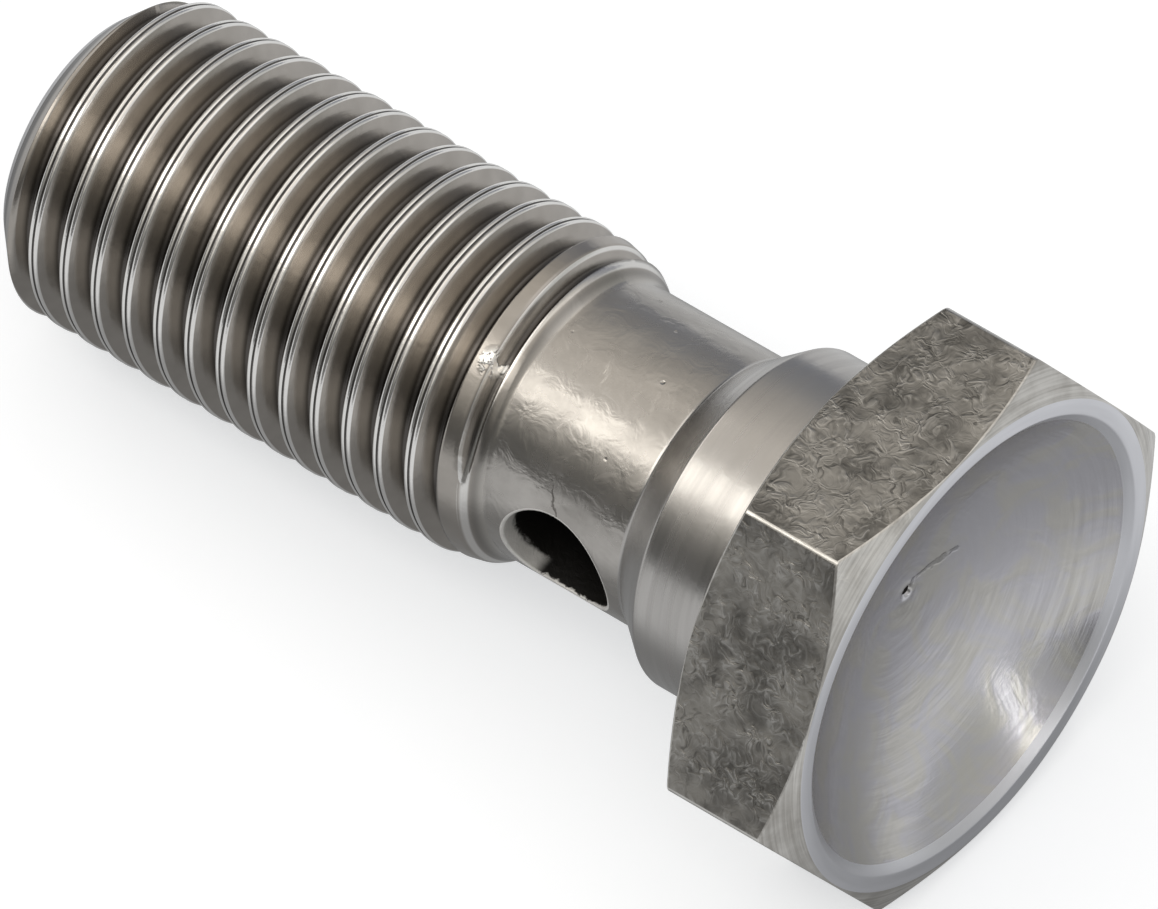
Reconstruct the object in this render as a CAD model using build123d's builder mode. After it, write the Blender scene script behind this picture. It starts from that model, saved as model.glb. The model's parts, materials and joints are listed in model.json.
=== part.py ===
from build123d import *
import os
from math import atan2, ceil, cos, radians, sin, tan

# Banjo bolt for a brake hose, 3/8-24 UNF, one inch long under the head, in one piece from stainless hexagon bar.
# From the head: a hexagon with a dished face, a collar that centres the banjo eye, a plain shank with a cross
# hole, and a right-hand thread. An axial bore from the tip meets the cross hole, so fluid passes between the
# bolt's end and the ring of space inside the eye.
#
# Millimetres. The bolt is turned standing on Z, with Z = 0 at the seat, the face of the head that clamps the
# eye, and the tip upwards. Angles around it start where the thread groove starts. It is then laid down as it
# comes to rest, on one flat of its head and on its first full thread: its axis along X, the tip towards -X,
# the floor at Z = 0 and the origin below the middle of its length.

# Head
across_flats = 14.2875       # 9/16 inch
head_height = 4.1
upper_flat_angle = 55        # the flat that faces up when the bolt lies on the opposite one
face_ring_diameter = 14.2    # where the corner chamfers start, on both end faces
corner_chamfer_angle = 26    # from the end face
dish_diameter = 13.3
dish_depth = 2.45

# Collar that centres the banjo eye, and the cone from it to the shank
collar_diameter = 9.9
collar_length = 3.2
collar_cone_length = 1.2

# Shank, with the room for the fluid around it
shank_diameter = 8.0
shank_length = 4.55

# Shoulder from the shank to the thread: a short steep nose, then a slow taper
nose_length = 0.55
nose_diameter = 8.86
taper_length = 1.15

# Thread: 3/8-24 UNF, near the small end of its tolerance
thread_diameter = 9.35
thread_pitch = 1.0583        # 24 turns to the inch
crest_width = 0.26
flank_angle = 30             # of each flank, from square to the axis
length_under_head = 25.4     # one inch
tip_chamfer = 0.95           # as deep as it is long
thread_overrun = 0.09        # of the groove's start, past the taper on to the nose
runout_length = 3.0          # the groove leaves the metal along its tangent

# Drillings
bore_diameter = 4.5
bore_mouth_chamfer = 0.3
bore_overrun = 0.3           # of the bore's full width, past the cross hole
drill_point_angle = 118
cross_hole_diameter = 3.4
cross_hole_angle = -40.5

# Places along the bolt
cone_end = collar_length + collar_cone_length
shank_end = cone_end + shank_length
nose_end = shank_end + nose_length
taper_end = nose_end + taper_length
cross_hole_place = cone_end + shank_length / 2
thread_start = nose_end - thread_overrun

# The thread's helix is made in stretches of four whole turns, which keeps its faces simple. The last one ends
# past the tip, in a longer blank that is cut to length after threading.
stretch_length = 4 * thread_pitch
stretches = ceil((length_under_head + thread_pitch / 2 - thread_start) / stretch_length)
blank_end = thread_start + stretches * stretch_length + thread_pitch / 2

# Distances from the axis
flat_reach = across_flats / 2
corner_reach = flat_reach / cos(radians(30))
ring_reach = face_ring_diameter / 2
collar_reach = collar_diameter / 2
shank_reach = shank_diameter / 2
nose_reach = nose_diameter / 2
thread_reach = thread_diameter / 2
bore_reach = bore_diameter / 2

# The thread's groove is a V. It is cut by a tool that stands a little proud of the crests.
groove_depth = (thread_pitch - crest_width) / 2 / tan(radians(flank_angle))
groove_reach = thread_reach - groove_depth
tool_height = groove_depth + thread_pitch / 20
tool_width = 2 * tool_height * tan(radians(flank_angle))

with BuildPart() as groove:
    with BuildLine(Plane.XY.offset(thread_start)) as turns:
        for stretch in range(stretches):
            Helix(
                pitch=thread_pitch,
                height=stretch_length,
                radius=groove_reach,
                center=(0, 0, stretch * stretch_length),
            )
    helix = turns.wires()[0]
    with BuildSketch(Plane(helix @ 0, x_dir=(1, 0, 0), z_dir=helix % 0)) as tool:
        with BuildLine():
            Polyline((0, 0), (tool_height, -tool_width / 2), (tool_height, tool_width / 2), close=True)
        make_face()
    sweep(path=helix, is_frenet=True)

with BuildPart() as runout:
    extrude(tool.sketch, amount=-runout_length)

with BuildPart() as turned:
    # Collar, cone, shank, shoulder and thread blank
    with BuildSketch(Plane.XZ) as stem:
        with BuildLine():
            Polyline(
                (0, -head_height / 2),
                (collar_reach, -head_height / 2),
                (collar_reach, collar_length),
                (shank_reach, cone_end),
                (shank_reach, shank_end),
                (nose_reach, nose_end),
                (thread_reach, taper_end),
                (thread_reach, blank_end),
                (0, blank_end),
                close=True,
            )
        make_face()
    revolve()

    # Thread, which runs out into the shoulder
    add(groove.part, mode=Mode.SUBTRACT)
    add(runout.part, mode=Mode.SUBTRACT)

    # Tip, cut to length and chamfered through the thread
    with BuildSketch(Plane.XZ):
        with BuildLine():
            Polyline(
                (0, length_under_head),
                (thread_reach - tip_chamfer, length_under_head),
                (thread_reach + thread_pitch, length_under_head - tip_chamfer - thread_pitch),
                (thread_reach + thread_pitch, blank_end + thread_pitch),
                (0, blank_end + thread_pitch),
                close=True,
            )
        make_face()
    revolve(mode=Mode.SUBTRACT)

    # Hexagon, with the corners of both end faces chamfered
    with BuildSketch(Plane.XY.offset(-head_height)):
        RegularPolygon(flat_reach, 6, major_radius=False, rotation=upper_flat_angle + 30)
    extrude(amount=head_height)
    chamfer_reach = corner_reach + 1
    chamfer_height = (chamfer_reach - ring_reach) * tan(radians(corner_chamfer_angle))
    with BuildSketch(Plane.XZ):
        for face, away in ((0, -1), (-head_height, 1)):
            with BuildLine():
                Polyline(
                    (ring_reach, face),
                    (chamfer_reach, face),
                    (chamfer_reach, face + away * chamfer_height),
                    close=True,
                )
            make_face()
    revolve(mode=Mode.SUBTRACT)

    # Axial bore with its drill point, just past the cross hole
    bore_end = cross_hole_place - cross_hole_diameter / 2 - bore_overrun
    point_length = bore_reach / tan(radians(drill_point_angle / 2))
    with BuildSketch(Plane.XZ):
        with BuildLine():
            Polyline(
                (0, bore_end - point_length),
                (bore_reach, bore_end),
                (bore_reach, length_under_head - bore_mouth_chamfer),
                (bore_reach + bore_mouth_chamfer, length_under_head),
                (0, length_under_head),
                close=True,
            )
        make_face()
    revolve(mode=Mode.SUBTRACT)

    # Cross hole, through both walls of the shank
    hole_direction = Vector(1, 0, 0).rotate(Axis.Z, cross_hole_angle)
    with BuildSketch(Plane((0, 0, cross_hole_place), z_dir=hole_direction)):
        Circle(cross_hole_diameter / 2)
    extrude(amount=shank_diameter, both=True, mode=Mode.SUBTRACT)

    # Dish in the face of the head, part of a sphere
    dish_radius = (dish_diameter**2 / 4 + dish_depth**2) / (2 * dish_depth)
    with Locations((0, 0, dish_depth - dish_radius - head_height)):
        Sphere(dish_radius, rotation=(90, 0, 0), mode=Mode.SUBTRACT)

# How it lies: on the seat-side end of a flat, and on the thread beside the tip chamfer
flat_start = (flat_reach - ring_reach) * tan(radians(corner_chamfer_angle))
tilt = atan2(flat_reach - thread_reach, length_under_head - tip_chamfer + flat_start)
towards_tip = Vector(-cos(tilt), 0, -sin(tilt))
upwards = Vector(-sin(tilt), 0, cos(tilt))
tip_end = length_under_head * cos(tilt) + (thread_reach - tip_chamfer) * sin(tilt)
head_end = head_height * cos(tilt) + ring_reach * sin(tilt)
seat_centre = Vector((tip_end - head_end) / 2, 0, flat_reach * cos(tilt) - flat_start * sin(tilt))
thread_start_direction = upwards.rotate(Axis(seat_centre, towards_tip), -upper_flat_angle)

with BuildPart(Plane(seat_centre, x_dir=thread_start_direction, z_dir=towards_tip)) as bolt:
    add(turned.part)

bolt.part.label = "bolt"

os.makedirs("parts", exist_ok=True)
export_step(bolt.part, "parts/bolt.step")
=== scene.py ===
import json
from math import acos, asin, atan2, ceil, cos, inf, pi, radians, sin, sqrt, tan

import bmesh
import bpy
import numpy as np
from mathutils import Matrix, Vector


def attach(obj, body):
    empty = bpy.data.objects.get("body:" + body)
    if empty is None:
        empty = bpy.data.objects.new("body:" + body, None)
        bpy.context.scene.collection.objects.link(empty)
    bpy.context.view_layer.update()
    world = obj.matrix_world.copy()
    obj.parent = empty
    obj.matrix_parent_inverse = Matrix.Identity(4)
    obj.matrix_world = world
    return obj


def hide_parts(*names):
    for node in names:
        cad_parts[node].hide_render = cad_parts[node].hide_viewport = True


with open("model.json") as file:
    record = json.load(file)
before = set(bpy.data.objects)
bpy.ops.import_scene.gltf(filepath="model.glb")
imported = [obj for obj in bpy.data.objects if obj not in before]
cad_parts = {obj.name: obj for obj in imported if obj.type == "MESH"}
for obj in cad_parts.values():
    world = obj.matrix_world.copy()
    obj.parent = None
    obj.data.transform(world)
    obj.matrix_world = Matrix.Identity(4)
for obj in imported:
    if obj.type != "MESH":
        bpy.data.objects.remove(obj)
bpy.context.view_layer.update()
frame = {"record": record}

# ---------------------------------------------------------------------------------------------------------------
# How the bolt lies. It was turned about its own axis, so its mesh is made standing on that axis, with the seat
# at zero and the tip upwards, and is then laid down where the CAD part lies: on a hexagon flat and its thread.
# Sizes are in millimetres, and angles round the bolt start at the hexagon's upper flat.
# ---------------------------------------------------------------------------------------------------------------
mm = 0.001
mounts = {mount["name"]: mount for mount in frame["record"]["mounts"]}


def mount_size(name, size):
    return mounts[name]["dims"][size]


def mount_place(name):
    return Vector(mounts[name]["pos_m"])


towards_tip = Vector(mounts["collar"]["axis"]).normalized()
seat_centre = mount_place("collar") - towards_tip * mount_size("collar", "length_mm") / 2 * mm
sideways = Vector((0, 1, 0))
upwards = sideways.cross(towards_tip).normalized()
lying = Matrix.Translation(seat_centre) @ Matrix((upwards, sideways, towards_tip)).transposed().to_4x4()


def place_along(name):
    """How far a mount lies from the seat, towards the tip."""
    return (mount_place(name) - seat_centre).dot(towards_tip) / mm


# ---------------------------------------------------------------------------------------------------------------
# The metal, cut from one stainless hexagon bar. Its mesh is rows of points round the axis, which begin in the
# middle of the dish and go out over the head, along to the tip and back down the bore.
# ---------------------------------------------------------------------------------------------------------------
points = []
faces = []
finishes = []
round_step = 2      # degrees
round_angles = np.radians(np.arange(0, 360, round_step))
quarter_turn = np.radians((0, 22, 45, 68, 90))


def add_at(x, y, z):
    points.append((x, y, z))
    return len(points) - 1


def add_point(reach, angle, place):
    return add_at(reach * cos(angle), reach * sin(angle), place)


def add_row(reach, place, round_at=round_angles):
    """A row of points all round the axis. Returns their numbers."""
    reach = np.broadcast_to(reach, round_at.shape)
    place = np.broadcast_to(place, round_at.shape)
    return [add_point(*at) for at in zip(reach, round_at, place)]


def add_face(corners, finish):
    faces.append(tuple(corners))
    finishes.append(finish)


def skin(first, second, finish):
    """Faces between two rows, or two closed loops, with the same number of points."""
    for i in range(len(first)):
        j = (i + 1) % len(first)
        add_face((first[i], first[j], second[j], second[i]), finish)


def skin_all(rows):
    """Faces between each row and the next, with the finish that the next one names."""
    for (first, _), (second, finish) in zip(rows[:-1], rows[1:]):
        if finish:
            skin(first, second, finish)


def close_middle(row, middle, finish):
    """Closes a small row with a point in its middle."""
    for i in range(len(row)):
        add_face((middle, row[i], row[(i + 1) % len(row)]), finish)


def rounded(before, corner, after, radius, count):
    """Points, as reach and place, that round a corner of the turned outline."""
    corner = np.array(corner, float)
    back = np.array(before, float) - corner
    on = np.array(after, float) - corner
    back /= np.linalg.norm(back)
    on /= np.linalg.norm(on)
    half = acos(back @ on) / 2
    middle = (back + on) / np.linalg.norm(back + on)
    centre = corner + middle * radius / sin(half)
    first = corner + back * radius / tan(half) - centre
    last = corner + on * radius / tan(half) - centre
    turn = pi - 2 * half
    return [tuple(centre + (first * sin((1 - part) * turn) + last * sin(part * turn)) / sin(turn))
            for part in np.linspace(0, 1, count)]


# ---------------------------------------------------------------------------------------------------------------
# Head: a hexagon whose sides keep the skin of the drawn bar. Both end faces are turned, with the corners
# chamfered, and a round tool has dished the outer one and left a small pit near its middle.
# ---------------------------------------------------------------------------------------------------------------
head_height = 4.1
flat_reach = 14.2875 / 2
corner_round = 0.22
ring_reach = 7.1
ring_edge_width = 0.05
ring_edge_drop = 0.006
chamfer_slope = tan(radians(26))
ridge_round = 0.07
ridge_share = 0.45      # the most that the ridge takes of the chamfer's width
ridge_curve = 1.6
ridge_rise = 0.6
highlight_half_angle = radians(0.45)

dish_reach = 6.65
dish_depth = 2.45
dish_radius = (dish_reach**2 + dish_depth**2) / (2 * dish_depth)
dish_rows = np.linspace(0.75, dish_reach - 0.25, 26)
inside_rim = dish_reach - 0.5
rim_round = 0.12

# The pit's outline is in parts of its reach and of its depth. Metal stands up a little round it.
pit_reach = 0.22
pit_depth = 0.14
pit_outline = ((0.2, 0.95), (0.45, 0.8), (0.65, 0.5), (0.82, 0.15), (1.0, -0.1), (1.3, -0.14), (1.7, -0.06),
               (2.2, 0))
pit_shaded_part = 0.7
pit_aside = (0.25, 0.32)
pit_spread = 3.0

beside_corners = (-1.0, -0.7, -0.4, -0.15, 0.15, 0.4, 0.7, 1.0)
head_angles = np.radians(sorted([*range(0, 360, round_step),
                                 *(corner + step for corner in range(30, 390, 60) for step in beside_corners)]))


def hexagon_reach(angle):
    """Distance from the axis to the side of the hexagon, whose edges are slightly round."""
    from_edge = (angle % (pi / 3)) - pi / 6
    flat = flat_reach / np.cos(pi / 6 - np.abs(from_edge))
    round_centre = (flat_reach - corner_round) / cos(pi / 6)
    inside = np.maximum(corner_round**2 - (round_centre * np.sin(from_edge)) ** 2, 0)
    round_meets = atan2(corner_round / 2, round_centre + corner_round * cos(pi / 6))
    return np.where(np.abs(from_edge) < round_meets, round_centre * np.cos(from_edge) + np.sqrt(inside), flat)


def dish_place(reach):
    return dish_depth - head_height - dish_radius + sqrt(dish_radius**2 - reach**2)


def add_dish_row(reach, sunk=0):
    """A row of the dish, moved aside near the pit, which isn't quite in the middle."""
    aside = max(0, 1 - reach / pit_spread) ** 2
    row = []
    for angle in head_angles:
        x = reach * cos(angle) + pit_aside[0] * aside
        y = reach * sin(angle) + pit_aside[1] * aside
        row.append(add_at(x, y, dish_place(sqrt(x * x + y * y)) + sunk))
    return row


# The pit's inner rows take the bore's near-black finish: painted shade in the pit
head_rows = [(add_dish_row(pit_reach * part, sunk * pit_depth), "bore" if part < pit_shaded_part else "dish")
             for part, sunk in pit_outline]
pit_floor = dish_place(sqrt(pit_aside[0] ** 2 + pit_aside[1] ** 2)) + pit_depth
close_middle(head_rows[0][0], add_at(*pit_aside, pit_floor), "bore")
head_rows += [(add_dish_row(reach), "dish") for reach in dish_rows]
head_rows += [(add_row(reach, place, head_angles), "face") for reach, place in rounded(
    (inside_rim, dish_place(inside_rim)), (dish_reach, -head_height), (ring_reach, -head_height), rim_round, 6)]
head_rows += [(add_row(ring_reach - ring_edge_width, -head_height, head_angles), "face"),
              (add_row(ring_reach, ring_edge_drop - head_height, head_angles), "face")]

side_reach = hexagon_reach(head_angles)
chamfer_width = side_reach - ring_reach
ridge = np.minimum(ridge_round, chamfer_width * ridge_share)
end_rows = [(ring_reach + (chamfer_width - ridge) * part, (chamfer_width - ridge) * part * chamfer_slope)
            for part in (0.3, 0.6)]
for turn in (0, 0.33, 0.67, 1):
    over = ridge * turn**ridge_curve
    end_rows.append((side_reach - ridge * (1 - turn) ** ridge_curve,
                     (chamfer_width - ridge + over) * chamfer_slope + over * ridge_rise))
side_start = end_rows[-1][1]
head_rows += [(add_row(reach, inward - head_height, head_angles), "corner") for reach, inward in end_rows]
head_rows += [(add_row(side_reach, side_start - head_height + (head_height - 2 * side_start) * part, head_angles),
               "flat") for part in (0.25, 0.5, 0.75, 1)]
head_rows += [(add_row(reach, -inward, head_angles), "corner") for reach, inward in end_rows[-2::-1]]
head_rows.append((add_row(ring_reach, 0, head_angles), "seat"))
skin_all(head_rows)
# Faces on the flats right beside each edge take the edge finish, which paints a highlight along the edge
for number, corners in enumerate(faces):
    if finishes[number] == "flat":
        angles = [atan2(points[i][1], points[i][0]) for i in corners]
        if max(abs(angle % (pi / 3) - pi / 6) for angle in angles) < highlight_half_angle:
            finishes[number] = "edge"

# ---------------------------------------------------------------------------------------------------------------
# Collar that centres the banjo eye, the cone from it to the neck, and the neck, all turned bright. The neck
# leaves room for the fluid round it.
# ---------------------------------------------------------------------------------------------------------------
collar_reach = mount_size("collar", "r_mm")
collar_length = mount_size("collar", "length_mm")
collar_foot = 0.12
collar_round = 0.18
cone_end = 4.4
cone_round = 0.25
neck_reach = 4.0
hole_place = place_along("cross_hole")
hole_window = 2.0
window_places = np.linspace(hole_place - hole_window, hole_place + hole_window, 13)
just_short = radians(0.01)      # against rounding

body_rows = [(add_row(collar_reach + collar_foot * (1 - sin(turn)), collar_foot * (1 - cos(turn))), "seat")
             for turn in quarter_turn]
foot, seat_ring = body_rows[0][0], head_rows[-1][0]
for i, angle in enumerate(round_angles):
    first, last = np.searchsorted(head_angles, (angle - just_short, angle + radians(round_step) - just_short))
    on_seat = [seat_ring[k % len(seat_ring)] for k in range(first, last + 1)]
    add_face([*on_seat, foot[(i + 1) % len(foot)], foot[i]], "seat")

body_rows += [(add_row(collar_reach, place), "collar") for place in (1.2, 2.2)]
body_rows += [(add_row(*at), "collar") for at in rounded(
    (collar_reach, 0), (collar_reach, collar_length), (neck_reach, cone_end), collar_round, 6)]
body_rows += [(add_row(*at), "collar") for at in rounded(
    (collar_reach, collar_length), (neck_reach, cone_end), (neck_reach, hole_place), cone_round, 7)]
neck_window = [add_row(neck_reach, place) for place in window_places]
skin_all([*body_rows, (neck_window[0], "neck")])

# ---------------------------------------------------------------------------------------------------------------
# Shoulder and thread, 24 turns to the inch, right-hand and rolled: a V groove with a round root, between crests
# that the rolls have closed to two lips with a fine seam. It starts on the shoulder, where the groove leaves the
# metal along its tangent, and ends in the tip's chamfer.
# ---------------------------------------------------------------------------------------------------------------
neck_end = 8.95
neck_round = 0.25
nose_end = 9.5
nose_reach = 4.43
nose_round = 0.3
taper_end = 10.65
taper_round = 1.0
thread_pitch = 25.4 / 24
thread_reach = 4.675
crest_width = 0.26
lip_round = 0.08
seam = ((0.058, 0.004), (0.032, 0.016), (0.018, 0.036), (0, 0.06))
root_round = 0.12
flank = radians(30)
tip_place = 25.4
tip_chamfer = 0.95
tip_reach = thread_reach - tip_chamfer
thread_start = nose_end - 0.09
thread_start_angle = radians(-55)
leaving_angle = radians(80)     # over which the groove climbs out of the metal
root_reach = thread_reach + root_round - (thread_pitch - crest_width) / 2 / tan(flank)

half_root = [(root_round * sin(turn), root_reach + root_round * (1 - cos(turn)))
             for turn in np.linspace(0, pi / 2 - flank, 4)]
lip_start = crest_width / 2 - lip_round * tan((pi / 2 - flank) / 2)
half_crest = [(lip_start + lip_round * sin(turn), thread_reach - lip_round * (1 - cos(turn)))
              for turn in np.linspace(pi / 2 - flank, 0, 4)]
half_crest += [(across, thread_reach - deep) for across, deep in seam]
half_crest = [(thread_pitch / 2 - across, reach) for across, reach in half_crest]
(foot_across, foot_reach), (edge_across, edge_reach) = half_root[-1], half_crest[0]
half_groove = [*half_root, ((foot_across + edge_across) / 2, (foot_reach + edge_reach) / 2), *half_crest]
groove = [(-across, reach) for across, reach in half_groove[:0:-1]] + half_groove[:-1]
rows_per_turn = len(groove)
seam_rows = (0, 1, rows_per_turn - 2, rows_per_turn - 1)

strip_start = window_places[-1] + 0.1
strip_end = tip_place - tip_chamfer + 0.75
neck_corner, nose_corner, thread_corner = (neck_reach, neck_end), (nose_reach, nose_end), (thread_reach, taper_end)
tip_corner = (thread_reach, tip_place - tip_chamfer)
shoulder = [(neck_reach, hole_place),
            *rounded((neck_reach, hole_place), neck_corner, nose_corner, neck_round, 7),
            *rounded(neck_corner, nose_corner, thread_corner, nose_round, 9),
            *rounded(nose_corner, thread_corner, tip_corner, taper_round, 5),
            tip_corner, (tip_reach, tip_place)]
shoulder_reaches, shoulder_places = zip(*shoulder)


def blank_reach(place):
    """The blank that the thread is rolled in."""
    return np.interp(place, shoulder_places, shoulder_reaches)


first_turn = -2
last_turn = ceil((strip_end - thread_start) / thread_pitch) + 1
turn_from_start = (round_angles - thread_start_angle) % (2 * pi)
reaches, places = [], []
for turn in range(first_turn, last_turn):
    travel = turn_from_start + 2 * pi * turn
    leaving = np.clip(-travel, 0, leaving_angle)
    for across, reach in groove:
        places.append(thread_start + thread_pitch * travel / (2 * pi) + across)
        reaches.append(reach + root_reach * (1 / np.cos(leaving) - 1))
reaches, places = np.array(reaches), np.array(places)

# Where the groove leaves the blank, points slide to the very edge, which keeps it crisp
slide_limit = 0.3
above = reaches - blank_reach(places)
new_places = places.copy()
new_reaches = np.minimum(reaches, blank_reach(places))
for column in range(len(round_angles)):
    for row in range(len(above) - 1):
        here, there = above[row, column], above[row + 1, column]
        if (here > 0) == (there > 0) or min(abs(here), abs(there)) > slide_limit:
            continue
        edge = places[row, column] + here / (here - there) * (places[row + 1, column] - places[row, column])
        moved = row if here > 0 else row + 1
        new_places[moved, column] = edge
        new_reaches[moved, column] = blank_reach(edge)
new_places = np.clip(new_places, strip_start, strip_end)
for end in (strip_start, strip_end):
    new_reaches = np.where(new_places == end, blank_reach(end), new_reaches)

strip = [[add_point(*at) for at in zip(reach, round_angles, place)]
         for reach, place in zip(new_reaches, new_places)]
order = np.argsort(turn_from_start, kind="stable")
climbs = [0] * (len(order) - 1) + [rows_per_turn]
neck_finish_end = neck_end + 0.02
for row in range(len(strip) - 1):
    for here, there, climb in zip(order, np.roll(order, -1), climbs):
        if row + 1 + climb >= len(strip):
            continue
        highest = max(above[row:row + 2, here].max(), above[row + climb:row + climb + 2, there].max())
        in_seam = row % rows_per_turn in seam_rows and highest < 0
        on_neck = max(new_places[row + 1, here], new_places[row + 1 + climb, there]) < neck_finish_end
        add_face((strip[row][here], strip[row + climb][there], strip[row + 1 + climb][there], strip[row + 1][here]),
                 "neck" if on_neck else "seam" if in_seam else "thread")
skin(neck_window[-1], add_row(neck_reach, strip_start), "neck")

# ---------------------------------------------------------------------------------------------------------------
# Tip and bore: the end of the chamfer, the faced end, the mouth of the bore with its broken edge, and the bore
# down to its drill point.
# ---------------------------------------------------------------------------------------------------------------
bore_reach = mount_size("fluid_bore", "r_mm")
bore_half = mount_size("fluid_bore", "length_mm") / 2
bore_mouth = place_along("fluid_bore") + bore_half
bore_end = place_along("fluid_bore") - bore_half
mouth_reach = bore_reach + tip_place - bore_mouth
drill_slope = 1 / tan(radians(59))
tip_round = 0.08
mouth_round = 0.05

tip_rows = [(add_row(blank_reach(strip_end), strip_end), "tip")]
tip_rows += [(add_row(*at), "tip") for at in rounded(
    tip_corner, (tip_reach, tip_place), (mouth_reach, tip_place), tip_round, 4)]
tip_rows += [(add_row(*at), "tip") for at in rounded(
    (tip_reach, tip_place), (mouth_reach, tip_place), (bore_reach, bore_mouth), mouth_round, 3)]
tip_rows += [(add_row(bore_reach, place), "bore") for place in np.linspace(bore_mouth, window_places[-1], 8)]
skin_all(tip_rows)
bore_window = [tip_rows[-1][0], *(add_row(bore_reach, place) for place in window_places[-2::-1])]
drill_rows = [(bore_window[-1], "bore")]
drill_rows += [(add_row(bore_reach * (1 - part), bore_end - bore_reach * part * drill_slope), "bore")
               for part in (0, 0.4, 0.8)]
skin_all(drill_rows)
close_middle(drill_rows[-1][0], add_at(0, 0, bore_end - bore_reach * drill_slope), "bore")

# ---------------------------------------------------------------------------------------------------------------
# Cross hole, drilled through both walls of the neck into the bore. Loops of points spread from its round edge
# to a window in the neck and to one in the bore, and its outer edge is just broken.
# ---------------------------------------------------------------------------------------------------------------
hole_reach = mount_size("cross_hole", "r_mm")
hole_break = 0.09
hole_axis = Vector(mounts["cross_hole"]["axis"])
hole_angle = atan2(hole_axis.dot(sideways), hole_axis.dot(upwards))
neck_half_window = radians(36)
bore_half_window = radians(62)


def in_window(centre, half_window):
    """The columns of a window round an angle, in order."""
    away = (round_angles - centre + pi) % (2 * pi) - pi
    return [i for i in np.argsort(away) if abs(away[i]) <= half_window]


def around_window(grid, inside):
    """The points on a window's edge, in turn."""
    return ([grid[0][i] for i in inside] + [row[inside[-1]] for row in grid[1:-1]]
            + [grid[-1][i] for i in reversed(inside)] + [row[inside[0]] for row in reversed(grid[1:-1])])


def spread_window(grid, centre, inside, surface_reach, edge_reach, finish, loops):
    """Loops of points from a window's edge to a round edge. Returns the last one, and the turn of each point."""
    previous = around_window(grid, inside)
    flat = []
    for number in previous:
        x, y, z = points[number]
        flat.append((((atan2(y, x) - centre + pi) % (2 * pi) - pi) * surface_reach, z - hole_place))
    turns = [atan2(across, along) % (2 * pi) for across, along in flat]
    for part in np.linspace(0, 1, loops + 1)[1:]:
        loop = []
        for (across, along), turn in zip(flat, turns):
            edge_across = asin(edge_reach * sin(turn) / surface_reach) * surface_reach
            across += (edge_across - across) * part
            along += (edge_reach * cos(turn) - along) * part
            loop.append(add_point(surface_reach, centre + across / surface_reach, hole_place + along))
        skin(previous, loop, finish)
        previous = loop
    return previous, turns


def hole_loop(centre, turns, reach, drop, part):
    """A loop round the hole's own axis, part of the way to the bore from a drop below the neck's surface."""
    loop = []
    for turn in turns:
        across = reach * sin(turn)
        along = (1 - part) * (sqrt(neck_reach**2 - across**2) - drop) + part * sqrt(bore_reach**2 - across**2)
        loop.append(add_at(along * cos(centre) - across * sin(centre), along * sin(centre) + across * cos(centre),
                           hole_place + reach * cos(turn)))
    return loop


def zip_loops(first, first_turns, second, second_turns, finish):
    """Triangles between two loops with different numbers of points, which step on in the order of their turns."""
    back_at_start = 4 * pi      # more than any turn
    first = [first[i] for i in np.argsort(first_turns)]
    second = [second[i] for i in np.argsort(second_turns)]
    first_steps = [*sorted(first_turns)[1:], back_at_start, inf]
    second_steps = [*sorted(second_turns)[1:], back_at_start, inf]
    i = j = 0
    while i < len(first) or j < len(second):
        a, b = first[i % len(first)], second[j % len(second)]
        if first_steps[i] <= second_steps[j]:
            i += 1
            add_face((a, first[i % len(first)], b), finish)
        else:
            j += 1
            add_face((a, second[j % len(second)], b), finish)


# Finish, rows, half the window's width, reach of the surface and of the hole's edge in it, and loops between
windows = (("neck", neck_window, neck_half_window, neck_reach, hole_reach + hole_break, 6),
           ("bore", bore_window, bore_half_window, bore_reach, hole_reach, 3))
open_columns = {"neck": set(), "bore": set()}
for centre in (hole_angle, hole_angle + pi):
    edges = {}
    for finish, grid, half_window, surface_reach, edge_reach, loops in windows:
        inside = in_window(centre, half_window)
        open_columns[finish] |= set(inside[:-1])
        edges[finish] = spread_window(grid, centre, inside, surface_reach, edge_reach, finish, loops)
    wall, turns = edges["neck"]
    levels = [(hole_reach + hole_break * (1 - sin(lean)), hole_break * (1 - cos(lean)), 0)
              for lean in quarter_turn[1:]]
    levels += [(hole_reach, hole_break, part) for part in (0.5, 0.97)]
    for level in levels:
        loop = hole_loop(centre, turns, *level)
        skin(wall, loop, "hole")
        wall = loop
    zip_loops(wall, turns, *edges["bore"], "hole")

for finish, grid, *_ in windows:
    for i in set(range(len(round_angles))) - open_columns[finish]:
        j = (i + 1) % len(round_angles)
        for first, second in zip(grid[:-1], grid[1:]):
            add_face((first[i], first[j], second[j], second[i]), finish)

# ---------------------------------------------------------------------------------------------------------------
# The bolt is closed here to one solid skin, laid down, and given its place on the body.
# ---------------------------------------------------------------------------------------------------------------
finish_names = ("thread", "seam", "neck", "collar", "flat", "edge", "corner", "face", "dish", "seat", "tip", "hole",
                "bore")
merge_distance = 0.0004

mesh = bpy.data.meshes.new("banjo_bolt")
mesh.from_pydata(points, [], faces)
mesh.polygons.foreach_set("material_index", [finish_names.index(finish) for finish in finishes])
closing = bmesh.new()
closing.from_mesh(mesh)
bmesh.ops.remove_doubles(closing, verts=closing.verts, dist=merge_distance)
bmesh.ops.dissolve_degenerate(closing, edges=closing.edges, dist=merge_distance)
bmesh.ops.recalc_face_normals(closing, faces=closing.faces)
for face in closing.faces:
    face.smooth = True
closing.to_mesh(mesh)
closing.free()
mesh.transform(lying @ Matrix.Scale(mm, 4))

bolt = bpy.data.objects.new("banjo_bolt", mesh)
bpy.context.collection.objects.link(bolt)
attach(bolt, "root")
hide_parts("bolt")


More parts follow.
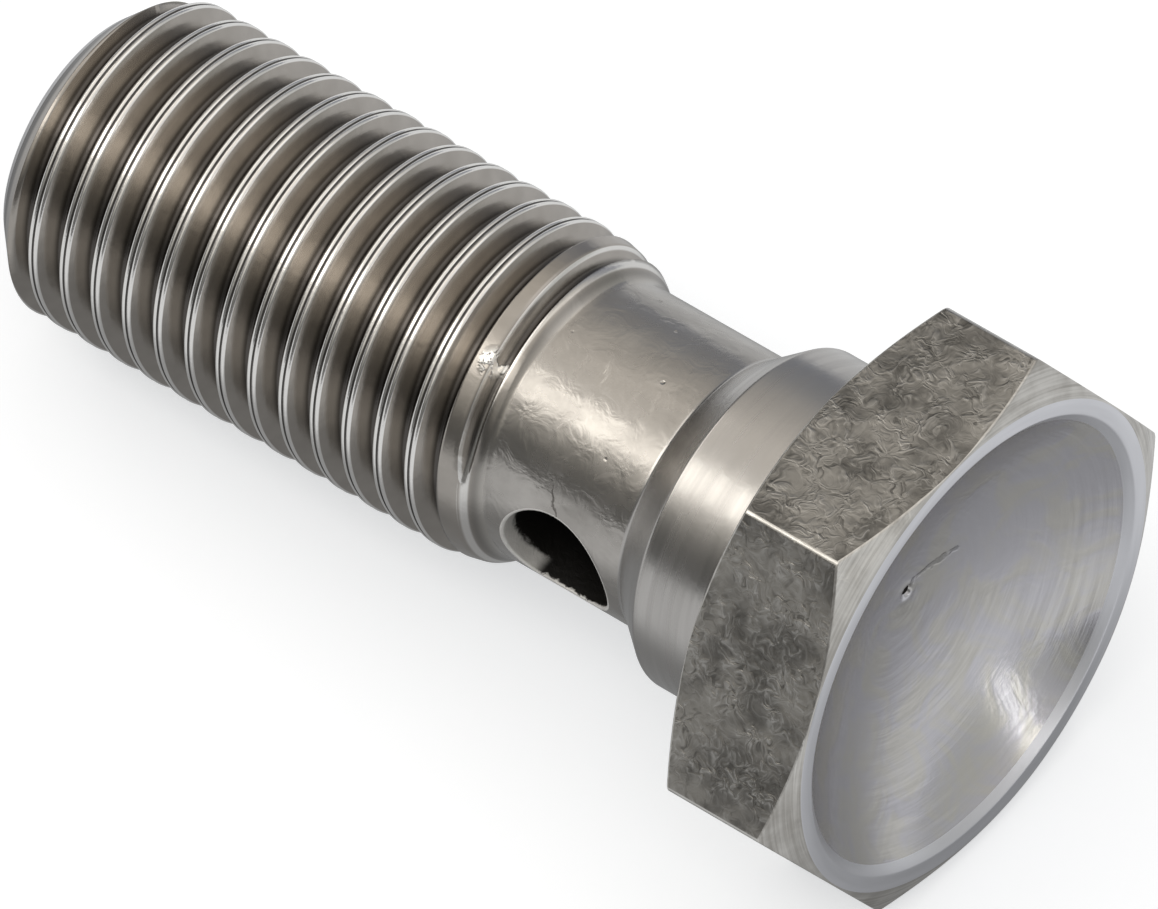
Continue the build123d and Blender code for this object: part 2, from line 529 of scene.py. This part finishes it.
# ---------------------------------------------------------------------------------------------------------------
# Finishes of the steel. Marks of turning, rolling and drawing lie in the bolt's own directions, so each finish
# reads its place on the standing bolt.
# ---------------------------------------------------------------------------------------------------------------
def new_group(name, inputs, outputs):
    """An empty shader group with named sockets."""
    group = bpy.data.node_groups.new(name, "ShaderNodeTree")
    for socket, value in inputs.items():
        kind = "NodeSocketVector" if value is None else "NodeSocketFloat"
        made = group.interface.new_socket(name=socket, in_out="INPUT", socket_type=kind)
        if value is not None:
            made.default_value = value
    for socket in outputs:
        kind = "NodeSocketVector" if socket in ("Standing", "Rings") else "NodeSocketFloat"
        group.interface.new_socket(name=socket, in_out="OUTPUT", socket_type=kind)
    return group, group.nodes.new("NodeGroupInput").outputs, group.nodes.new("NodeGroupOutput").inputs


def node(tree, kind, values=None, **settings):
    """A node with its settings, and its sockets set to numbers or joined to other sockets."""
    made = tree.nodes.new("ShaderNode" + kind)
    for name, value in settings.items():
        setattr(made, name, value)
    for socket, value in (values or {}).items():
        if isinstance(value, bpy.types.NodeSocket):
            tree.links.new(value, made.inputs[socket])
        else:
            made.inputs[socket].default_value = value
    return made


def maths(tree, operation, first, second=0.0):
    return node(tree, "Math", {0: first, 1: second}, operation=operation).outputs[0]


def times(tree, first, second):
    return maths(tree, "MULTIPLY", first, second)


def vector_maths(tree, operation, values, output="Vector"):
    return node(tree, "VectorMath", values, operation=operation).outputs[output]


def stretched(tree, vector, x, y, z):
    return vector_maths(tree, "MULTIPLY", {0: vector, 1: (x, y, z)})


def map_range(tree, value, low, high, to_low, to_high, **settings):
    return node(tree, "MapRange", {"Value": value, "From Min": low, "From Max": high, "To Min": to_low,
                                   "To Max": to_high}, **settings).outputs["Result"]


def between(tree, value, low, high, to_low=0.0, to_high=1.0):
    """A value that goes smoothly from one level to another as the first goes from low to high."""
    return map_range(tree, value, low, high, to_low, to_high, interpolation_type="SMOOTHSTEP")


def linear(tree, value, low, high, to_low, to_high):
    """A line through two levels, which goes on past both of them."""
    return map_range(tree, value, low, high, to_low, to_high, clamp=False)


def noise(tree, vector, scale, detail=2.0, roughness=0.5, distortion=0.0, output="Fac"):
    made = node(tree, "TexNoise", {"Vector": vector, "Scale": scale, "Detail": detail, "Roughness": roughness,
                                   "Distortion": distortion})
    return made.outputs[output]


def put_out(group, made, **values):
    for socket, value in values.items():
        group.links.new(value, made[socket])


# Where a point lies on the standing bolt, in millimetres: its place, and round coordinates that hold along rings
standing_group, _, made = new_group("place on the bolt", {}, ("Standing", "Place", "Reach", "Rings"))
back_up = Matrix.Scale(1 / mm, 4) @ lying.inverted()
standing = node(standing_group, "Mapping", {
    "Vector": node(standing_group, "TexCoord").outputs["Object"], "Location": back_up.to_translation(),
    "Rotation": back_up.to_euler(), "Scale": (1 / mm, 1 / mm, 1 / mm)}).outputs["Vector"]
split = node(standing_group, "SeparateXYZ", {0: standing}).outputs
from_axis = node(standing_group, "CombineXYZ", {"X": split["X"], "Y": split["Y"]}).outputs[0]
axis_distance = vector_maths(standing_group, "LENGTH", {0: from_axis}, "Value")
unit = node(standing_group, "SeparateXYZ", {0: vector_maths(standing_group, "NORMALIZE", {0: from_axis})}).outputs
rings = node(standing_group, "CombineXYZ", {"X": unit["X"], "Y": unit["Y"], "Z": axis_distance}).outputs[0]
put_out(standing_group, made, Standing=standing, Place=split["Z"], Reach=axis_distance, Rings=rings)


def on_bolt(tree):
    return node(tree, "Group", node_tree=standing_group).outputs


# Fine lines that a turning tool leaves, which run round the bolt and change along it or out from its axis
marks_group, given, made = new_group("tool marks", {"Along": 0.0, "Lines": 20.0, "Waver": 0.6}, ("Height", "Streaks"))
marks_ring = node(marks_group, "SeparateXYZ", {0: on_bolt(marks_group)["Rings"]}).outputs
fine = node(marks_group, "CombineXYZ", {
    "X": times(marks_group, marks_ring["X"], given["Waver"]),
    "Y": times(marks_group, marks_ring["Y"], given["Waver"]),
    "Z": times(marks_group, given["Along"], given["Lines"])}).outputs[0]
broad = stretched(marks_group, fine, 1.7, 1.7, 0.14)
put_out(marks_group, made, Height=noise(marks_group, fine, 1.0, detail=3.0, roughness=0.65),
        Streaks=noise(marks_group, broad, 1.0))

# Uneven polish: soft hollows and swells that break up a reflection, and a few fine pits
polish_group, given, made = new_group("uneven polish", {"Size": 0.8, "Pits": 0.5}, ("Height", "Tone", "Pits"))
polish_place = on_bolt(polish_group)["Standing"]
per_mm = maths(polish_group, "DIVIDE", 1.0, given["Size"])
drawn_out = stretched(polish_group, polish_place, 0.5, 0.5, 0.35)
cells = node(polish_group, "TexVoronoi", {"Vector": polish_place, "Scale": 1.1}, feature="F1").outputs
cell_number = node(polish_group, "SeparateColor", {0: cells["Color"]}).outputs[0]
has_pit = maths(polish_group, "LESS_THAN", cell_number, given["Pits"])
put_out(polish_group, made,
        Height=noise(polish_group, polish_place, per_mm, detail=3.0, roughness=0.55, distortion=0.8),
        Tone=noise(polish_group, drawn_out, per_mm, detail=4.0, roughness=0.6),
        Pits=times(polish_group, between(polish_group, cells["Distance"], 0.09, 0.03), has_pit))

# Skin of the drawn bar: short curled strokes that the rolls and the pickling left, raised between hollows. Hollows
# gives where the flats take painted shade, Strokes where they take painted highlights
skin_group, given, made = new_group("bar skin", {"Strokes per mm": 2.0, "Curl": 1.4},
                                    ("Height", "Strokes", "Hollows", "Cloud"))
skin_place = on_bolt(skin_group)["Standing"]
curl = vector_maths(skin_group, "SCALE", {0: noise(skin_group, skin_place, 1.5, detail=1.0, output="Color"),
                                          "Scale": given["Curl"]})
curled = vector_maths(skin_group, "ADD", {0: skin_place, 1: curl})
wisps = noise(skin_group, curled, given["Strokes per mm"], distortion=1.4)
cloud = noise(skin_group, skin_place, 0.6, detail=3.0, roughness=0.6)
patches = between(skin_group, noise(skin_group, skin_place, 1.4), 0.35, 0.62, 0.35, 1.0)
put_out(skin_group, made, Cloud=cloud,
        Height=maths(skin_group, "ADD", times(skin_group, wisps, patches), times(skin_group, cloud, 0.8)),
        Strokes=times(skin_group, between(skin_group, wisps, 0.48, 0.66), patches),
        Hollows=times(skin_group, between(skin_group, wisps, 0.45, 0.32), patches))

# One shaky line, which is a real scratch on the neck and a line of painted shade in the dish: a line from a place on
# the standing bolt, in a direction and of a length in millimetres, drawn shakily
shaky_line_group, given, made = new_group("scratch", {"Start": None, "Direction": None, "Length": 1.0, "Width": 0.05,
                                                   "Shake": 0.3}, ("Mask",))
shaky_line_place = on_bolt(shaky_line_group)["Standing"]
wander = vector_maths(shaky_line_group, "ADD", {0: noise(shaky_line_group, shaky_line_place, 3.5, output="Color"),
                                             1: (-0.5, -0.5, -0.5)})
wander = vector_maths(shaky_line_group, "SCALE", {0: wander, "Scale": given["Shake"]})
drawn_place = vector_maths(shaky_line_group, "SUBTRACT", {0: shaky_line_place, 1: given["Start"]})
drawn_place = vector_maths(shaky_line_group, "ADD", {0: drawn_place, 1: wander})
drawn_length = vector_maths(shaky_line_group, "DOT_PRODUCT", {0: drawn_place, 1: given["Direction"]}, "Value")
drawn_length = maths(shaky_line_group, "MINIMUM", maths(shaky_line_group, "MAXIMUM", drawn_length), given["Length"])
nearest = vector_maths(shaky_line_group, "SCALE", {0: given["Direction"], "Scale": drawn_length})
aside = vector_maths(shaky_line_group, "DISTANCE", {0: drawn_place, 1: nearest}, "Value")
put_out(shaky_line_group, made, Mask=between(shaky_line_group, aside, given["Width"],
                                          times(shaky_line_group, given["Width"], 0.4)))


def new_steel(name, metallic=1.0):
    """A steel material. Returns its node tree, its shader's inputs and the place on the bolt."""
    material = bpy.data.materials.new(name)
    material.use_nodes = True
    mesh.materials.append(material)
    tree = material.node_tree
    shader = tree.nodes["Principled BSDF"]
    shader.inputs["Metallic"].default_value = metallic
    return tree, shader.inputs, on_bolt(tree)


def colour_between(tree, value, first, second):
    """A mix of two colours, each of them three numbers or a socket."""
    first, second = (end if isinstance(end, bpy.types.NodeSocket) else (*end, 1) for end in (first, second))
    return node(tree, "Mix", {"Factor": value, "A": first, "B": second}, data_type="RGBA").outputs[2]


def bumps(tree, shader, *heights):
    """Gives the surface heights, each with its depth in millimetres, one on top of another."""
    under = {}
    for height, deep in heights:
        made = node(tree, "Bump", {"Height": height, "Strength": 1.0, "Distance": deep * mm, **under})
        under = {"Normal": made.outputs["Normal"]}
    tree.links.new(under["Normal"], shader["Normal"])


def tool_marks(tree, along, lines, waver):
    return node(tree, "Group", {"Along": along, "Lines": lines, "Waver": waver}, node_tree=marks_group).outputs


def uneven_polish(tree, size, pits=0.0):
    return node(tree, "Group", {"Size": size, "Pits": pits}, node_tree=polish_group).outputs


def shaky_line_between(tree, start, end, width, shake):
    run = Vector(end) - Vector(start)
    return node(tree, "Group", {"Start": start, "Direction": run.normalized(), "Length": run.length, "Width": width,
                                "Shake": shake}, node_tree=shaky_line_group).outputs["Mask"]


def rolled_thread():
    """Polished by the rolls on the crests and flanks, and painted dark in the bottom of the groove as shade. The
    crest lips are lighter; painted highlights stand on the rims of the groove on the taper and as a line on the nose,
    and a small burr where the groove starts has painted glints."""
    burr_place = (3.88, -2.1, 9.72)
    tree, shader, at = new_steel("rolled_thread")
    polish = uneven_polish(tree, size=0.5)
    marks = tool_marks(tree, at["Place"], lines=34.0, waver=0.5)
    clear_of_root_shade = between(tree, at["Reach"], root_reach, root_reach + 0.2)
    towards_neck = between(tree, at["Place"], neck_end + 0.4, neck_end - 0.05)
    steel = colour_between(tree, polish["Tone"], (0.34, 0.315, 0.285), (0.52, 0.485, 0.445))
    # Painted shade: the bottom of the groove is made near-black
    steel = colour_between(tree, clear_of_root_shade, (0.1, 0.092, 0.085), steel)
    steel = colour_between(tree, towards_neck, steel, (0.5, 0.475, 0.44))

    on_lips = between(tree, at["Reach"], thread_reach - 0.055, thread_reach - 0.03)
    from_burr = vector_maths(tree, "DISTANCE", {0: at["Standing"], 1: burr_place}, "Value")
    ragged = noise(tree, at["Standing"], 3.0, detail=3.0, roughness=0.6)
    # A real burr in the bump, whose pale colour is painted glints
    burr_and_painted_glints = times(tree, between(tree, from_burr, 0.5, 0.25), between(tree, ragged, 0.47, 0.56))
    blank = maths(tree, "MINIMUM",
                  linear(tree, at["Place"], neck_end, nose_end, neck_reach, nose_reach),
                  linear(tree, at["Place"], nose_end, taper_end, nose_reach, thread_reach))
    under_blank = maths(tree, "SUBTRACT", blank, at["Reach"])
    # Painted highlight along the rims of the groove on the taper
    painted_rim_highlight = times(tree, between(tree, under_blank, 0.012, 0.03), between(tree, under_blank, 0.13, 0.08))
    painted_rim_highlight = times(tree, painted_rim_highlight, between(tree, at["Place"], taper_end, taper_end - 0.6, 0.0, 0.9))
    # Painted highlight: a bright ring on the nose's corner
    painted_nose_highlight = times(tree, between(tree, at["Place"], nose_end - 0.26, nose_end - 0.2),
                      between(tree, at["Place"], nose_end - 0.02, nose_end - 0.1, 0.0, 0.8))
    # The lighter crest lips take the pale colour, together with the painted highlights and glints
    lips_and_painted_highlights = maths(tree, "MAXIMUM", maths(tree, "MAXIMUM", on_lips, burr_and_painted_glints), maths(tree, "MAXIMUM", painted_rim_highlight, painted_nose_highlight))
    tree.links.new(colour_between(tree, lips_and_painted_highlights, steel, (0.88, 0.86, 0.83)), shader["Base Color"])
    tree.links.new(between(tree, on_lips, 0.0, 1.0, 0.24, 0.17), shader["Roughness"])
    bumps(tree, shader, (polish["Height"], 0.006), (burr_and_painted_glints, 0.03), (marks["Height"], 0.0009))


def rolled_seam():
    """The fine seam where the rolls have closed the crest, painted dark as the shade in its crease."""
    tree, shader, _ = new_steel("rolled_seam")
    polish = uneven_polish(tree, size=0.3)
    tree.links.new(colour_between(tree, polish["Tone"], (0.04, 0.037, 0.034), (0.22, 0.21, 0.2)),
                   shader["Base Color"])
    shader["Roughness"].default_value = 0.4


def turned_neck():
    """Turned, then polished unevenly by hand: it is mottled, with small hollows, pits and one hair-fine scratch."""
    line_start, line_end = (2.3, -3.3, 7.02), (1.4, -3.76, 6.62)
    tree, shader, at = new_steel("turned_neck")
    polish = uneven_polish(tree, size=0.7, pits=0.6)
    marks = tool_marks(tree, at["Place"], lines=26.0, waver=0.8)
    steel = colour_between(tree, polish["Tone"], (0.3, 0.28, 0.26), (0.62, 0.594, 0.556))
    scratch = shaky_line_between(tree, line_start, line_end, width=0.05, shake=0.35)
    tree.links.new(colour_between(tree, times(tree, scratch, 0.75), steel, (0.1, 0.09, 0.08)), shader["Base Color"])
    tree.links.new(between(tree, polish["Tone"], 0.3, 0.7, 0.32, 0.2), shader["Roughness"])
    bumps(tree, shader, (polish["Height"], 0.024), (maths(tree, "SUBTRACT", 1.0, polish["Pits"]), 0.02),
          (marks["Height"], 0.0012))


def turned_collar():
    """Finish-turned bright, with fine even lines."""
    tree, shader, at = new_steel("turned_collar")
    polish = uneven_polish(tree, size=0.9)
    marks = tool_marks(tree, at["Place"], lines=30.0, waver=0.5)
    tree.links.new(colour_between(tree, marks["Streaks"], (0.43, 0.412, 0.395), (0.55, 0.532, 0.507)),
                   shader["Base Color"])
    tree.links.new(between(tree, marks["Streaks"], 0.3, 0.7, 0.28, 0.2), shader["Roughness"])
    bumps(tree, shader, (polish["Height"], 0.005), (marks["Height"], 0.0016))


def drawn_flats():
    """Left as drawn: dull, dark, and covered in short curled strokes, with painted shade in the hollows between them
    and painted highlights on the raised strokes.
    """
    tree, shader, _ = new_steel("drawn_flats")
    drawn = node(tree, "Group", {"Strokes per mm": 3.0, "Curl": 1.1}, node_tree=skin_group).outputs
    steel = colour_between(tree, between(tree, drawn["Cloud"], 0.36, 0.6), (0.17, 0.163, 0.15), (0.33, 0.315, 0.29))
    # Painted shade in the hollows between the strokes
    steel = colour_between(tree, times(tree, drawn["Hollows"], 0.7), steel, (0.09, 0.086, 0.078))
    # Painted highlights on the raised strokes
    steel = colour_between(tree, times(tree, drawn["Strokes"], 0.6), steel, (0.46, 0.445, 0.42))
    tree.links.new(steel, shader["Base Color"])
    tree.links.new(between(tree, drawn["Strokes"], 0.0, 1.0, 0.48, 0.36), shader["Roughness"])
    bumps(tree, shader, (drawn["Height"], 0.06))


def worn_edges():
    """The edges between the flats, made pale: a painted highlight along each edge."""
    tree, shader, _ = new_steel("worn_edges")
    polish = uneven_polish(tree, size=0.3)
    tree.links.new(colour_between(tree, polish["Tone"], (0.4, 0.385, 0.36), (0.8, 0.78, 0.74)), shader["Base Color"])
    shader["Roughness"].default_value = 0.3
    bumps(tree, shader, (polish["Height"], 0.01))


def turned_corners():
    """Chamfers across the corners, turned with the faces: satin, with short fine lines."""
    tree, shader, at = new_steel("turned_corners")
    marks = tool_marks(tree, at["Reach"], lines=11.0, waver=1.6)
    polish = uneven_polish(tree, size=0.9)
    tone = maths(tree, "ADD", times(tree, polish["Tone"], 0.6), times(tree, marks["Height"], 0.6))
    tree.links.new(colour_between(tree, between(tree, tone, 0.4, 0.8), (0.4, 0.38, 0.35), (0.72, 0.7, 0.665)),
                   shader["Base Color"])
    tree.links.new(between(tree, marks["Streaks"], 0.3, 0.7, 0.42, 0.28), shader["Roughness"])
    bumps(tree, shader, (polish["Height"], 0.03), (marks["Height"], 0.006))


def dished_face():
    """The dish: satin, with rings from the tool that come and go, a warmer tone where it was rubbed, and a dark line
    of painted shade beside the pit, along the sharp edge of the dish's shaded side, over a shallow groove."""
    line_start, line_end = (0.42, 0.5, -1.67), (0.3, 2.1, -1.86)
    tree, shader, at = new_steel("dished_face")
    marks = tool_marks(tree, at["Reach"], lines=5.5, waver=1.1)
    fine = tool_marks(tree, at["Reach"], lines=19.0, waver=3.0)
    polish = uneven_polish(tree, size=1.5)
    rings = maths(tree, "SUBTRACT", between(tree, marks["Height"], 0.3, 0.7), 0.5)
    strength = between(tree, polish["Tone"], 0.42, 0.62, 0.1, 0.8)
    tone = maths(tree, "ADD", times(tree, rings, strength), 0.5)
    tone = maths(tree, "ADD", times(tree, tone, 0.75), times(tree, fine["Height"], 0.25))
    warmth = between(tree, polish["Height"], 0.4, 0.62)
    low = colour_between(tree, warmth, (0.49, 0.48, 0.505), (0.51, 0.495, 0.465))
    high = colour_between(tree, warmth, (0.67, 0.66, 0.695), (0.7, 0.68, 0.645))
    ringed = colour_between(tree, tone, low, high)
    # Painted shade: a dark line marking the sharp edge of the dish's shaded side
    scratch = shaky_line_between(tree, line_start, line_end, width=0.13, shake=0.4)
    tree.links.new(colour_between(tree, times(tree, scratch, 0.4), ringed, (0.16, 0.155, 0.165)),
                   shader["Base Color"])
    tree.links.new(between(tree, tone, 0.3, 0.7, 0.25, 0.17), shader["Roughness"])
    bumps(tree, shader, (polish["Height"], 0.016), (marks["Height"], 0.005),
          (maths(tree, "SUBTRACT", 1.0, scratch), 0.01), (fine["Height"], 0.002))


def plain_turned(name, along, lines, waver, dark, light, roughness, deep):
    """Shows nothing but the tool's lines, which change with the place along the bolt or the reach from its axis."""
    tree, shader, at = new_steel(name)
    marks = tool_marks(tree, at[along], lines, waver)
    tree.links.new(colour_between(tree, marks["Streaks"], dark, light), shader["Base Color"])
    shader["Roughness"].default_value = roughness
    bumps(tree, shader, (marks["Height"], deep))


def turned_face():
    """The flat ring of the head's outer face."""
    plain_turned("turned_face", "Reach", lines=22.0, waver=1.2, dark=(0.6, 0.6, 0.625), light=(0.84, 0.84, 0.875),
                 roughness=0.32, deep=0.0015)


def turned_seat():
    plain_turned("turned_seat", "Reach", lines=24.0, waver=0.6, dark=(0.46, 0.44, 0.42), light=(0.6, 0.58, 0.55),
                 roughness=0.3, deep=0.002)


def turned_tip():
    plain_turned("turned_tip", "Reach", lines=20.0, waver=0.8, dark=(0.46, 0.455, 0.46), light=(0.62, 0.615, 0.61),
                 roughness=0.3, deep=0.002)


def drilled_hole():
    """Wall of the cross hole: painted near-black inside as shade, with a painted lit crescent, pale and ragged, by
    its mouth on the tip's side, and a painted highlight on its edge.
    """
    tree, shader, at = new_steel("drilled_hole", metallic=0.35)
    polish = uneven_polish(tree, size=0.25)
    # The pale wall colour is painted light
    wall = colour_between(tree, polish["Tone"], (0.65, 0.64, 0.62), (0.95, 0.94, 0.92))
    ragged = maths(tree, "ADD", at["Reach"], times(tree, polish["Height"], 0.3))
    painted_lit_crescent = times(tree, between(tree, ragged, neck_reach - 0.45, neck_reach - 0.25),
                     between(tree, at["Place"], hole_place + 0.9, hole_place + 1.2))
    painted_edge_glint = between(tree, ragged, neck_reach + 0.03, neck_reach + 0.09)
    # Near-black painted shade inside, with the painted lit crescent and edge highlight
    tree.links.new(colour_between(tree, maths(tree, "MAXIMUM", painted_lit_crescent, painted_edge_glint), (0.012, 0.011, 0.01), wall),
                   shader["Base Color"])
    shader["Roughness"].default_value = 0.4
    bumps(tree, shader, (polish["Height"], 0.02))


def drilled_bore():
    """Wall of the bore, dull, and painted near-black as the shade deep inside it."""
    plain_turned("drilled_bore", "Place", lines=9.0, waver=2.0, dark=(0.012, 0.011, 0.01),
                 light=(0.04, 0.037, 0.034), roughness=0.6, deep=0.006)


# Made in the order of their names above, so that each face finds its own
for make_finish in (rolled_thread, rolled_seam, turned_neck, turned_collar, drawn_flats, worn_edges, turned_corners,
                    turned_face, dished_face, turned_seat, turned_tip, drilled_hole, drilled_bore):
    make_finish()

# ---------------------------------------------------------------------------------------------------------------
# Studio, in metres: a white paper floor, a pale room that is darker near the camera and beyond the tip, the
# camera, and four soft boxes: a long key over the bolt, one beyond the tip, a strip beyond the head, and a weak
# one behind.
# ---------------------------------------------------------------------------------------------------------------
floor_half = 1.5
paper_colour = (0.6, 0.61, 0.63)
paper_glow = (0.97, 0.985, 1.0, 1)
floor_to_camera = 0.56
floor_in_metal = (0.3, 0.72)
shade_reach = (0.0085, 0.0165)
shade_narrowing = 0.53

floor_mesh = bpy.data.meshes.new("floor")
floor_mesh.from_pydata([(-floor_half, -floor_half, 0), (floor_half, -floor_half, 0),
                        (floor_half, floor_half, 0), (-floor_half, floor_half, 0)], [], [(0, 1, 2, 3)])
floor = bpy.data.objects.new("floor", floor_mesh)
bpy.context.collection.objects.link(floor)
paper = bpy.data.materials.new("paper")
paper.use_nodes = True
floor_mesh.materials.append(paper)
paper_tree = paper.node_tree
paper_shader = paper_tree.nodes["Principled BSDF"].inputs
paper_shader["Roughness"].default_value = 0.9
paper_shader["Specular IOR Level"].default_value = 0.2
paper_shader["Emission Color"].default_value = paper_glow
paper_rays = node(paper_tree, "LightPath").outputs
seen = times(paper_tree, paper_rays["Is Camera Ray"], floor_to_camera)
in_metal = maths(paper_tree, "MAXIMUM", paper_rays["Is Glossy Ray"], paper_rays["Is Transmission Ray"])
# In metal the floor glows less near the bolt: painted shade under it, standing in for its shadow
under_bolt = stretched(paper_tree, node(paper_tree, "TexCoord").outputs["Object"], shade_narrowing, 1.0, 0.0)
from_bolt = vector_maths(paper_tree, "LENGTH", {0: under_bolt}, "Value")
mirrored = times(paper_tree, in_metal, between(paper_tree, from_bolt, *shade_reach, *floor_in_metal))
paper_tree.links.new(maths(paper_tree, "ADD", seen, mirrored), paper_shader["Emission Strength"])
paper_tree.links.new(colour_between(paper_tree, in_metal, paper_colour, (0, 0, 0)), paper_shader["Base Color"])

world = bpy.data.worlds.new("room")
bpy.context.scene.world = world
world.use_nodes = True
room_tree = world.node_tree
room = room_tree.nodes["Background"].inputs
looking = node(room_tree, "TexCoord").outputs["Generated"]
looking_along = node(room_tree, "SeparateXYZ", {0: looking}).outputs
towards_camera = vector_maths(room_tree, "DOT_PRODUCT", {0: looking, 1: (-0.1, -1, 0)}, "Value")
overhead = (0.95, 0.92, 0.87)


def room_colours(*stops):
    """Colour of one side of the room, from the floor's level up to overhead."""
    ramp = node(room_tree, "ValToRGB", {"Fac": looking_along["Z"]})
    ramp.color_ramp.interpolation = "EASE"
    elements = ramp.color_ramp.elements
    while len(elements) <= len(stops):
        elements.new(0.5)
    for element, (at, colour) in zip(elements, (*stops, (1.0, overhead))):
        element.position = at
        element.color = (*colour, 1)
    return ramp.outputs["Color"]


far_side = room_colours((0.0, (0.24, 0.255, 0.3)), (0.35, (0.33, 0.34, 0.36)), (0.62, (0.55, 0.53, 0.50)),
                        (0.85, (0.82, 0.78, 0.72)))
near_side = room_colours((0.0, (0.13, 0.13, 0.13)), (0.3, (0.14, 0.14, 0.135)), (0.45, (0.26, 0.255, 0.24)),
                         (0.6, (0.62, 0.6, 0.56)))
tip_side = room_colours((0.0, (0.07, 0.07, 0.07)), (0.35, (0.15, 0.15, 0.15)), (0.62, (0.45, 0.43, 0.41)),
                        (0.85, (0.8, 0.76, 0.7)))
head_side = room_colours((0.0, (0.5, 0.51, 0.5)), (0.2, (0.5, 0.51, 0.5)), (0.45, (0.62, 0.61, 0.6)),
                         (0.85, (0.72, 0.7, 0.67)))
room_light = colour_between(room_tree, between(room_tree, looking_along["X"], 0.05, 0.3), far_side, head_side)
room_light = colour_between(room_tree, between(room_tree, looking_along["X"], -0.6, -0.85), room_light, tip_side)
room_light = colour_between(room_tree, between(room_tree, towards_camera, 0.0, 0.35), room_light, near_side)
room_rays = node(room_tree, "LightPath").outputs
room_tree.links.new(colour_between(room_tree, room_rays["Is Camera Ray"], room_light, (1, 1, 1)), room["Color"])

warm_white = (1.0, 0.97, 0.92)


def soft_box(name, direction, distance, size, radiance, colour, long_axis=towards_tip):
    """A soft box that faces the bolt. Its radiance is what a mirror would show, where 1 is white."""
    light = bpy.data.lights.new(name, "AREA")
    light.shape = "RECTANGLE"
    light.size, light.size_y = size
    light.energy = radiance * pi * size[0] * size[1]
    light.color = colour
    lamp = bpy.data.objects.new(name, light)
    bpy.context.collection.objects.link(lamp)
    out = Vector(direction).normalized()
    along = (long_axis - out * long_axis.dot(out)).normalized()
    lamp.matrix_world = (Matrix.Translation(out * distance)
                         @ Matrix((along, out.cross(along), out)).transposed().to_4x4())


soft_box("key_soft_box", (-0.25, -0.43, 0.82), 0.7, (1.5, 0.24), radiance=1.5, colour=warm_white)
soft_box("tip_soft_box", (-0.78, -0.16, 0.6), 0.7, (0.25, 0.7), radiance=1.1, colour=warm_white)
soft_box("strip_box", (1.0, 0.12, 0.16), 0.7, (0.42, 0.05), radiance=2.2, colour=(1.0, 0.99, 0.97),
         long_axis=Vector((0, 0, 1)))
soft_box("back_soft_box", (0.4, 0.5, 0.8), 0.9, (0.7, 0.5), radiance=0.35, colour=(0.97, 0.98, 1.0))

view_azimuth = radians(39.274)
view_elevation = radians(54.196)
view_roll = radians(-0.4846)
view_distance = 655.706 * mm
view_aim = Vector((1.3593, 0.0999, 4.4351)) * mm
back = Vector((sin(view_azimuth) * cos(view_elevation), -cos(view_azimuth) * cos(view_elevation),
               sin(view_elevation)))
camera = bpy.data.objects.new("camera", bpy.data.cameras.new("camera"))
bpy.context.collection.objects.link(camera)
camera.data.lens = 784.98
camera.data.sensor_width = 36
camera.data.clip_end = 10
camera.matrix_world = (Matrix.Translation(view_aim + back * view_distance)
                       @ back.to_track_quat("Z", "Y").to_matrix().to_4x4()
                       @ Matrix.Rotation(view_roll, 4, "Z"))
bpy.context.scene.camera = camera
bpy.context.scene.view_settings.view_transform = "Standard"
